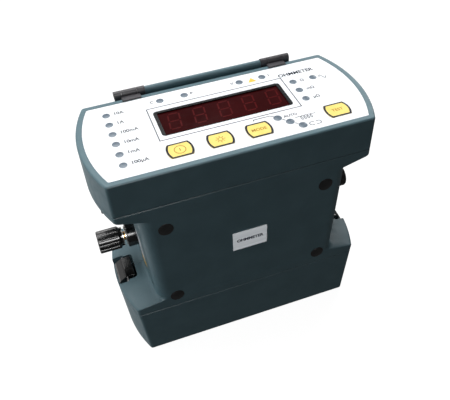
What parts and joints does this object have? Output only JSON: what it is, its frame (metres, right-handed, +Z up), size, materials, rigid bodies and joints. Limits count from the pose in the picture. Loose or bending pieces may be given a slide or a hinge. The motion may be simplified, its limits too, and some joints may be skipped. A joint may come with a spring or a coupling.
{
  "type": "low resistance ohmmeter",
  "caption": "Hand-held low-resistance ohmmeter with side binding posts, folding lid, yellow keys, digit display and lift-off battery module.",
  "frame": {"origin": "centre of the flat base of the battery module", "axes": "+X to the right of a person who faces the front, +Y to the back, +Z up"},
  "size_m": [0.2464, 0.1094, 0.224],
  "materials": {
    "slate_plastic": "fine matt moulded",
    "label_film": "printed polycarbonate film",
    "filter_red": "polished",
    "frame_black": "satin",
    "digit_block": "satin",
    "key_yellow": "printed satin",
    "lamp_grey": "satin",
    "hinge_black": "satin moulded",
    "cap_rubber": "matt",
    "knob_black": "polished moulded",
    "brass": "machined",
    "nickel": "plated",
    "steel": "zinc plated",
    "gasket": "matt",
    "plate_silver": "brushed foil",
    "board_green": "solder mask",
    "ferrite": "matt",
    "copper": "enamelled wire",
    "sink_aluminium": "extruded",
    "cell_sleeve": "sleeved can"
  },
  "bodies": {
    "battery_module": {"battery_tub": "slate_plastic", "battery_cover": "slate_plastic", "battery_screws": "steel", "battery_cells": "cell_sleeve", "cell_links": "nickel", "contact_plug": "frame_black", "charge_socket": "frame_black"},
    "lid": {"lid_panel": "slate_plastic", "lid_hinge_leaves": "hinge_black"},
    "power_key": {"key_power": "key_yellow"},
    "backlight_key": {"key_backlight": "key_yellow"},
    "mode_key": {"key_mode": "key_yellow"},
    "test_key": {"key_test": "key_yellow"},
    "left_latch": {"latch_left": "knob_black"},
    "right_latch": {"latch_right": "knob_black"},
    "current_left_carrier": {"current_left_washer": "nickel"},
    "current_left_grip": {"current_left_knob": "knob_black"},
    "potential_left_carrier": {"potential_left_washer": "nickel"},
    "potential_left_grip": {"potential_left_knob": "knob_black"},
    "current_right_carrier": {"current_right_washer": "nickel"},
    "current_right_grip": {"current_right_knob": "knob_black"},
    "potential_right_carrier": {"potential_right_washer": "nickel"},
    "potential_right_grip": {"potential_right_knob": "knob_black"},
    "instrument": {"head_moulding": "slate_plastic", "front_shell": "slate_plastic", "rear_shell": "slate_plastic", "terminal_panel_left": "slate_plastic", "terminal_panel_right": "slate_plastic", "front_label": "label_film", "display_filter": "filter_red", "display_frame": "frame_black", "display_digits": "digit_block", "display_board": "board_green", "indicator_lamps": "lamp_grey", "key_switches": "frame_black", "head_gasket": "gasket", "screw_caps": "cap_rubber", "case_screws": "steel", "threaded_inserts": "brass", "head_screws": "steel", "name_plate": "plate_silver", "rim_hinge_leaves": "hinge_black", "hinge_pins": "steel", "post_stems": "brass", "seat_rings": "nickel", "post_nuts": "brass", "latch_pins": "steel", "latch_springs": "steel", "main_board": "board_green", "board_pillars": "brass", "board_screws": "steel", "transformer_core": "ferrite", "transformer_winding": "copper", "heat_sink": "sink_aluminium", "current_shunt": "copper", "contact_socket": "frame_black", "current_left_collar": "knob_black", "potential_left_collar": "knob_black", "current_right_collar": "knob_black", "potential_right_collar": "knob_black"}
  },
  "joints": [
    {"name": "battery_module_release", "type": "slide", "parent": "battery_module", "child": "instrument", "axis": [0, 0, 1], "range_m": [0, 0.06]},
    {"name": "lid_hinge", "type": "hinge", "parent": "instrument", "child": "lid", "pos_m": [0, 0.0549, 0.2209], "axis": [1, 0, 0], "range_deg": [0, 270]},
    {"name": "press_power", "type": "slide", "parent": "instrument", "child": "power_key", "axis": [0, 0, -1], "range_m": [0, 0.0005], "stiffness_N_per_m": 2500, "springref_m": -0.0002},
    {"name": "press_backlight", "type": "slide", "parent": "instrument", "child": "backlight_key", "axis": [0, 0, -1], "range_m": [0, 0.0005], "stiffness_N_per_m": 2500, "springref_m": -0.0002},
    {"name": "press_mode", "type": "slide", "parent": "instrument", "child": "mode_key", "axis": [0, 0, -1], "range_m": [0, 0.0005], "stiffness_N_per_m": 2500, "springref_m": -0.0002},
    {"name": "press_test", "type": "slide", "parent": "instrument", "child": "test_key", "axis": [0, 0, -1], "range_m": [0, 0.0005], "stiffness_N_per_m": 2500, "springref_m": -0.0002},
    {"name": "advance_current_left", "type": "slide", "parent": "instrument", "child": "current_left_carrier", "axis": [-1, 0, 0], "range_m": [-0.0015, 0.0016]},
    {"name": "turn_current_left", "type": "hinge", "parent": "current_left_carrier", "child": "current_left_grip", "pos_m": [-0.0974, 0.0104, 0.1009], "axis": [-1, 0, 0], "range_deg": [-442, 470.8]},
    {"name": "advance_potential_left", "type": "slide", "parent": "instrument", "child": "potential_left_carrier", "axis": [-1, 0, 0], "range_m": [-0.0009, 0.0016]},
    {"name": "turn_potential_left", "type": "hinge", "parent": "potential_left_carrier", "child": "potential_left_grip", "pos_m": [-0.097, 0.0104, 0.1465], "axis": [-1, 0, 0], "range_deg": [-334, 586]},
    {"name": "advance_current_right", "type": "slide", "parent": "instrument", "child": "current_right_carrier", "axis": [1, 0, 0], "range_m": [-0.0009, 0.0016]},
    {"name": "turn_current_right", "type": "hinge", "parent": "current_right_carrier", "child": "current_right_grip", "pos_m": [0.0974, 0.0104, 0.1009], "axis": [1, 0, 0], "range_deg": [-269.2, 470.8]},
    {"name": "advance_potential_right", "type": "slide", "parent": "instrument", "child": "potential_right_carrier", "axis": [1, 0, 0], "range_m": [-0.0009, 0.0016]},
    {"name": "turn_potential_right", "type": "hinge", "parent": "potential_right_carrier", "child": "potential_right_grip", "pos_m": [0.097, 0.0104, 0.1465], "axis": [1, 0, 0], "range_deg": [-334, 586]},
    {"name": "press_latch_left", "type": "hinge", "parent": "instrument", "child": "left_latch", "pos_m": [-0.106, 0, 0.0648], "axis": [0, -1, 0], "range_deg": [0, 8], "stiffness_Nm_per_rad": 0.35, "springref_deg": -2.86, "deforming": ["latch_springs"]},
    {"name": "press_latch_right", "type": "hinge", "parent": "instrument", "child": "right_latch", "pos_m": [0.106, 0, 0.0648], "axis": [0, 1, 0], "range_deg": [0, 8], "stiffness_Nm_per_rad": 0.35, "springref_deg": -2.86}
  ],
  "couplings": [
    {"joint": "turn_current_left", "follows": "advance_current_left", "rad_per_m": 5026.5},
    {"joint": "turn_potential_left", "follows": "advance_potential_left", "rad_per_m": 6283.2},
    {"joint": "turn_current_right", "follows": "advance_current_right", "rad_per_m": 5026.5},
    {"joint": "turn_potential_right", "follows": "advance_potential_right", "rad_per_m": 6283.2}
  ]
}
